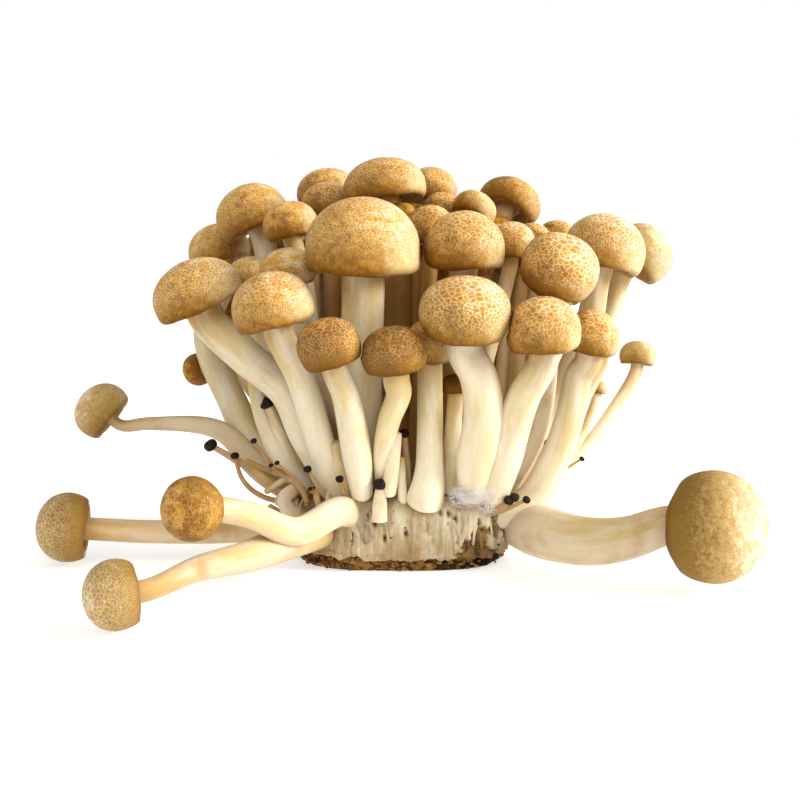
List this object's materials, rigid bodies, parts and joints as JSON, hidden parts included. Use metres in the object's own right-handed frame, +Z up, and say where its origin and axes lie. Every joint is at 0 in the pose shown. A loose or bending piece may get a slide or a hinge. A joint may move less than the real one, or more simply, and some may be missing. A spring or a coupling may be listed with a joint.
{
  "type": "beech mushroom cluster",
  "caption": "Brown beech mushrooms grown together on one cut root block, with a few long ones splayed out low to the sides.",
  "frame": {"origin": "middle of the flat cut face that the cluster stands on", "axes": "+Z up, +X along the long side of the cluster, towards the biggest splayed mushroom, and -Y towards the front"},
  "size_m": [0.1668, 0.1472, 0.0983],
  "materials": {
    "cap_skin": "dry satin skin, ochre brown with a net of pale cream cracks",
    "stem_flesh": "smooth matt ivory flesh with fine lengthwise fibres",
    "substrate": "crumbly matt brown growing medium"
  },
  "bodies": {
    "root": {"substrate_foot": "substrate", "stem_cluster": "stem_flesh", "cap_front_1": "cap_skin", "cap_front_2": "cap_skin", "cap_front_3": "cap_skin", "cap_front_4": "cap_skin", "cap_front_5": "cap_skin", "cap_front_6": "cap_skin", "cap_front_7": "cap_skin", "cap_front_8": "cap_skin", "cap_front_9": "cap_skin", "cap_front_10": "cap_skin", "cap_left_1": "cap_skin", "cap_left_2": "cap_skin", "cap_left_3": "cap_skin", "cap_left_4": "cap_skin", "cap_left_5": "cap_skin", "cap_left_6": "cap_skin", "cap_left_7": "cap_skin", "cap_right_1": "cap_skin", "cap_right_2": "cap_skin", "cap_right_3": "cap_skin", "cap_right_4": "cap_skin", "cap_right_5": "cap_skin", "cap_right_6": "cap_skin", "cap_top_1": "cap_skin", "cap_top_2": "cap_skin", "cap_top_3": "cap_skin", "cap_top_4": "cap_skin", "cap_top_5": "cap_skin", "cap_top_6": "cap_skin", "cap_top_7": "cap_skin", "cap_top_8": "cap_skin", "cap_top_9": "cap_skin", "cap_top_10": "cap_skin", "cap_top_11": "cap_skin", "cap_back_1": "cap_skin", "cap_back_2": "cap_skin", "cap_back_3": "cap_skin", "cap_back_4": "cap_skin", "cap_back_5": "cap_skin", "cap_back_6": "cap_skin", "cap_back_7": "cap_skin", "cap_back_8": "cap_skin", "cap_back_9": "cap_skin", "cap_back_10": "cap_skin", "cap_back_11": "cap_skin", "cap_back_12": "cap_skin", "cap_inner_1": "cap_skin", "cap_inner_2": "cap_skin", "cap_inner_3": "cap_skin", "cap_inner_4": "cap_skin", "cap_inner_5": "cap_skin", "cap_side_1": "cap_skin", "cap_side_2": "cap_skin", "cap_side_3": "cap_skin", "cap_side_4": "cap_skin", "cap_side_5": "cap_skin"}
  },
  "joints": []
}
